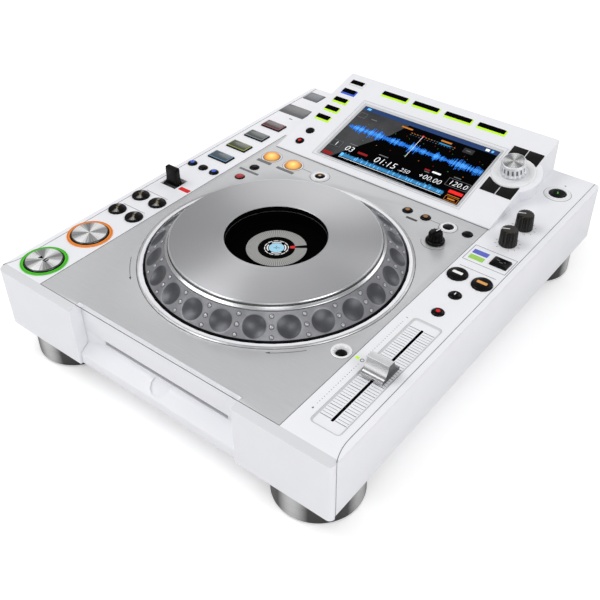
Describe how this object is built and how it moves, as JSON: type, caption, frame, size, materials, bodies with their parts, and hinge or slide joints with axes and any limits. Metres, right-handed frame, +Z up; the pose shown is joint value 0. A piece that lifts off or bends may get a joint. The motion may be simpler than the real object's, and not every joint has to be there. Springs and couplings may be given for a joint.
{
  "type": "tabletop disc and media player",
  "caption": "Flat tabletop player for DJ use: large jog wheel, front disc slot, tilted screen, tempo slider and lit round buttons on four round feet.",
  "frame": {"origin": "on the table, under the middle of the player's width and depth", "axes": "+X to the player's right, +Y to the rear, +Z up"},
  "size_m": [0.32, 0.403, 0.1115],
  "materials": {
    "white_shell": "satin",
    "brushed_plate": "brushed",
    "dark_panel": "satin",
    "smoke_ring": "metallic lacquer",
    "bright_metal": "polished",
    "foot_metal": "rubber under a brushed sleeve",
    "drive_case": "pressed sheet",
    "board_green": "solder mask",
    "black_key": "satin",
    "amber_key": "lit",
    "red_key": "satin",
    "pad_slate": "satin",
    "pad_olive": "satin",
    "grey_key": "satin",
    "pad_wine": "satin",
    "screen": "glossy"
  },
  "bodies": {
    "case": {"bottom_case": "white_shell", "top_cover": "white_shell", "deck_plate": "brushed_plate", "front_bezel": "white_shell", "rear_panel": "dark_panel", "display_housing": "white_shell", "display_panel": "screen", "disc_drive": "drive_case", "main_board": "board_green", "power_supply": "board_green", "jog_bearing": "dark_panel", "hub_display": "dark_panel", "foot_front_left": "foot_metal", "foot_front_right": "foot_metal", "foot_rear_left": "foot_metal", "foot_rear_right": "foot_metal"},
    "jog_wheel": {"jog_ring": "smoke_ring", "jog_plate": "brushed_plate"},
    "drive_spindle": {"drive_spindle": "black_key"},
    "play_button": {"play_button": "bright_metal"},
    "cue_button": {"cue_button": "bright_metal"},
    "search_front_left_button": {"search_front_left_button": "black_key"},
    "search_front_right_button": {"search_front_right_button": "black_key"},
    "search_rear_left_button": {"search_rear_left_button": "black_key"},
    "search_rear_right_button": {"search_rear_right_button": "black_key"},
    "mode_buttons": {"mode_buttons": "black_key"},
    "call_buttons": {"call_buttons": "black_key"},
    "loop_in_button": {"loop_in_button": "amber_key"},
    "loop_out_button": {"loop_out_button": "amber_key"},
    "mark_erase_button": {"mark_erase_button": "red_key"},
    "mark_store_button": {"mark_store_button": "black_key"},
    "reloop_button": {"reloop_button": "black_key"},
    "delete_button": {"delete_button": "black_key"},
    "memory_button": {"memory_button": "black_key"},
    "eject_button": {"eject_button": "black_key"},
    "tempo_range_button": {"tempo_range_button": "black_key"},
    "tempo_hold_button": {"tempo_hold_button": "red_key"},
    "tempo_reset_button": {"tempo_reset_button": "black_key"},
    "sync_button": {"sync_button": "black_key"},
    "master_button": {"master_button": "black_key"},
    "jog_mode_button": {"jog_mode_button": "black_key"},
    "hot_cue_pad_1": {"hot_cue_pad_1": "pad_slate"},
    "hot_cue_pad_2": {"hot_cue_pad_2": "pad_olive"},
    "hot_cue_pad_3": {"hot_cue_pad_3": "grey_key"},
    "hot_cue_pad_4": {"hot_cue_pad_4": "pad_wine"},
    "source_keys": {"source_keys": "black_key"},
    "browse_keys": {"browse_keys": "black_key"},
    "link_keys": {"link_keys": "black_key"},
    "menu_keys_rear": {"menu_keys_rear": "dark_panel"},
    "menu_keys_front": {"menu_keys_front": "dark_panel"},
    "selector_shaft": {"selector_shaft": "drive_case"},
    "selector_knob": {"selector_knob": "bright_metal"},
    "direction_lever": {"direction_lever": "black_key"},
    "card_flap": {"card_flap": "grey_key"},
    "port_flap": {"port_flap": "grey_key"},
    "touch_knob": {"touch_knob": "black_key"},
    "release_knob": {"release_knob": "black_key"},
    "weight_knob": {"weight_knob": "black_key"},
    "tempo_slider": {"tempo_slider": "bright_metal"},
    "power_switch": {"power_switch": "black_key"}
  },
  "joints": [
    {"name": "jog_spin", "type": "hinge", "parent": "case", "child": "jog_wheel", "pos_m": [-0.0006, -0.0584, 0.096], "axis": [0, 0, 1], "continuous": true},
    {"name": "disc_spin", "type": "hinge", "parent": "case", "child": "drive_spindle", "pos_m": [-0.0006, -0.1105, 0.042], "axis": [0, 0, 1], "continuous": true},
    {"name": "play_press", "type": "slide", "parent": "case", "child": "play_button", "axis": [0, 0, -1], "range_m": [0, 0.001], "stiffness_N_per_m": 200, "springref_m": -0.0005},
    {"name": "cue_press", "type": "slide", "parent": "case", "child": "cue_button", "axis": [0, 0, -1], "range_m": [0, 0.001], "stiffness_N_per_m": 200, "springref_m": -0.0005},
    {"name": "search_front_left_press", "type": "slide", "parent": "case", "child": "search_front_left_button", "axis": [0, 0, -1], "range_m": [0, 0.001], "stiffness_N_per_m": 200, "springref_m": -0.0005},
    {"name": "search_front_right_press", "type": "slide", "parent": "case", "child": "search_front_right_button", "axis": [0, 0, -1], "range_m": [0, 0.001], "stiffness_N_per_m": 200, "springref_m": -0.0005},
    {"name": "search_rear_left_press", "type": "slide", "parent": "case", "child": "search_rear_left_button", "axis": [0, 0, -1], "range_m": [0, 0.001], "stiffness_N_per_m": 200, "springref_m": -0.0005},
    {"name": "search_rear_right_press", "type": "slide", "parent": "case", "child": "search_rear_right_button", "axis": [0, 0, -1], "range_m": [0, 0.001], "stiffness_N_per_m": 200, "springref_m": -0.0005},
    {"name": "mode_buttons_press", "type": "slide", "parent": "case", "child": "mode_buttons", "axis": [0, 0, -1], "range_m": [0, 0.001], "stiffness_N_per_m": 200, "springref_m": -0.0005},
    {"name": "call_buttons_press", "type": "slide", "parent": "case", "child": "call_buttons", "axis": [0, 0, -1], "range_m": [0, 0.001], "stiffness_N_per_m": 200, "springref_m": -0.0005},
    {"name": "loop_in_press", "type": "slide", "parent": "case", "child": "loop_in_button", "axis": [0, 0, -1], "range_m": [0, 0.001], "stiffness_N_per_m": 200, "springref_m": -0.0005},
    {"name": "loop_out_press", "type": "slide", "parent": "case", "child": "loop_out_button", "axis": [0, 0, -1], "range_m": [0, 0.001], "stiffness_N_per_m": 200, "springref_m": -0.0005},
    {"name": "mark_erase_press", "type": "slide", "parent": "case", "child": "mark_erase_button", "axis": [0, 0, -1], "range_m": [0, 0.001], "stiffness_N_per_m": 200, "springref_m": -0.0005},
    {"name": "mark_store_press", "type": "slide", "parent": "case", "child": "mark_store_button", "axis": [0, 0, -1], "range_m": [0, 0.001], "stiffness_N_per_m": 200, "springref_m": -0.0005},
    {"name": "reloop_press", "type": "slide", "parent": "case", "child": "reloop_button", "axis": [0, 0, -1], "range_m": [0, 0.001], "stiffness_N_per_m": 200, "springref_m": -0.0005},
    {"name": "delete_press", "type": "slide", "parent": "case", "child": "delete_button", "axis": [0, 0, -1], "range_m": [0, 0.001], "stiffness_N_per_m": 200, "springref_m": -0.0005},
    {"name": "memory_press", "type": "slide", "parent": "case", "child": "memory_button", "axis": [0, 0, -1], "range_m": [0, 0.001], "stiffness_N_per_m": 200, "springref_m": -0.0005},
    {"name": "eject_press", "type": "slide", "parent": "case", "child": "eject_button", "axis": [0, 0, -1], "range_m": [0, 0.001], "stiffness_N_per_m": 200, "springref_m": -0.0005},
    {"name": "tempo_range_press", "type": "slide", "parent": "case", "child": "tempo_range_button", "axis": [0, 0, -1], "range_m": [0, 0.001], "stiffness_N_per_m": 200, "springref_m": -0.0005},
    {"name": "tempo_hold_press", "type": "slide", "parent": "case", "child": "tempo_hold_button", "axis": [0, 0, -1], "range_m": [0, 0.001], "stiffness_N_per_m": 200, "springref_m": -0.0005},
    {"name": "tempo_reset_press", "type": "slide", "parent": "case", "child": "tempo_reset_button", "axis": [0, 0, -1], "range_m": [0, 0.001], "stiffness_N_per_m": 200, "springref_m": -0.0005},
    {"name": "sync_press", "type": "slide", "parent": "case", "child": "sync_button", "axis": [0, 0, -1], "range_m": [0, 0.001], "stiffness_N_per_m": 200, "springref_m": -0.0005},
    {"name": "master_press", "type": "slide", "parent": "case", "child": "master_button", "axis": [0, 0, -1], "range_m": [0, 0.001], "stiffness_N_per_m": 200, "springref_m": -0.0005},
    {"name": "jog_mode_press", "type": "slide", "parent": "case", "child": "jog_mode_button", "axis": [0, 0, -1], "range_m": [0, 0.001], "stiffness_N_per_m": 200, "springref_m": -0.0005},
    {"name": "hot_cue_pad_1_press", "type": "slide", "parent": "case", "child": "hot_cue_pad_1", "axis": [0, 0, -1], "range_m": [0, 0.001], "stiffness_N_per_m": 200, "springref_m": -0.0005},
    {"name": "hot_cue_pad_2_press", "type": "slide", "parent": "case", "child": "hot_cue_pad_2", "axis": [0, 0, -1], "range_m": [0, 0.001], "stiffness_N_per_m": 200, "springref_m": -0.0005},
    {"name": "hot_cue_pad_3_press", "type": "slide", "parent": "case", "child": "hot_cue_pad_3", "axis": [0, 0, -1], "range_m": [0, 0.001], "stiffness_N_per_m": 200, "springref_m": -0.0005},
    {"name": "hot_cue_pad_4_press", "type": "slide", "parent": "case", "child": "hot_cue_pad_4", "axis": [0, 0, -1], "range_m": [0, 0.001], "stiffness_N_per_m": 200, "springref_m": -0.0005},
    {"name": "source_keys_press", "type": "slide", "parent": "case", "child": "source_keys", "axis": [0, 0.2346, -0.9721], "range_m": [0, 0.0006], "stiffness_N_per_m": 200, "springref_m": -0.0005},
    {"name": "browse_keys_press", "type": "slide", "parent": "case", "child": "browse_keys", "axis": [0, 0.2346, -0.9721], "range_m": [0, 0.0006], "stiffness_N_per_m": 200, "springref_m": -0.0005},
    {"name": "link_keys_press", "type": "slide", "parent": "case", "child": "link_keys", "axis": [0, 0.2346, -0.9721], "range_m": [0, 0.0006], "stiffness_N_per_m": 200, "springref_m": -0.0005},
    {"name": "menu_keys_rear_press", "type": "slide", "parent": "case", "child": "menu_keys_rear", "axis": [0, 0.2346, -0.9721], "range_m": [0, 0.0006], "stiffness_N_per_m": 200, "springref_m": -0.0005},
    {"name": "menu_keys_front_press", "type": "slide", "parent": "case", "child": "menu_keys_front", "axis": [0, 0.2346, -0.9721], "range_m": [0, 0.0006], "stiffness_N_per_m": 200, "springref_m": -0.0005},
    {"name": "selector_press", "type": "slide", "parent": "case", "child": "selector_shaft", "axis": [0, 0.2346, -0.9721], "range_m": [0, 0.0008], "stiffness_N_per_m": 300, "springref_m": -0.0005},
    {"name": "selector_turn", "type": "hinge", "parent": "selector_shaft", "child": "selector_knob", "pos_m": [0.0998, 0.13941, 0.10389], "axis": [0, -0.2346, 0.9721], "continuous": true},
    {"name": "direction_turn", "type": "hinge", "parent": "case", "child": "direction_lever", "pos_m": [-0.1413, -0.0303, 0.0697], "axis": [1, 0, 0], "range_deg": [-14, 14]},
    {"name": "card_flap_turn", "type": "hinge", "parent": "case", "child": "card_flap", "pos_m": [-0.1402, 0.1502, 0.0796], "axis": [-1, 0, 0], "range_deg": [0, 85]},
    {"name": "port_flap_turn", "type": "hinge", "parent": "case", "child": "port_flap", "pos_m": [-0.1446, 0.185, 0.0796], "axis": [-1, 0, 0], "range_deg": [0, 85]},
    {"name": "touch_knob_turn", "type": "hinge", "parent": "case", "child": "touch_knob", "pos_m": [0.1358, 0.0943, 0.084], "axis": [0, 0, 1], "range_deg": [-150, 150]},
    {"name": "release_knob_turn", "type": "hinge", "parent": "case", "child": "release_knob", "pos_m": [0.1358, 0.0663, 0.084], "axis": [0, 0, 1], "range_deg": [-150, 150]},
    {"name": "weight_knob_turn", "type": "hinge", "parent": "case", "child": "weight_knob", "pos_m": [0.0882, 0.0333, 0.084], "axis": [0, 0, 1], "range_deg": [-150, 150]},
    {"name": "tempo_travel", "type": "slide", "parent": "case", "child": "tempo_slider", "axis": [0, 1, 0], "range_m": [-0.05, 0.05]},
    {"name": "power_turn", "type": "hinge", "parent": "case", "child": "power_switch", "pos_m": [0.124, 0.1916, 0.0481], "axis": [1, 0, 0], "range_deg": [0, 18]}
  ]
}
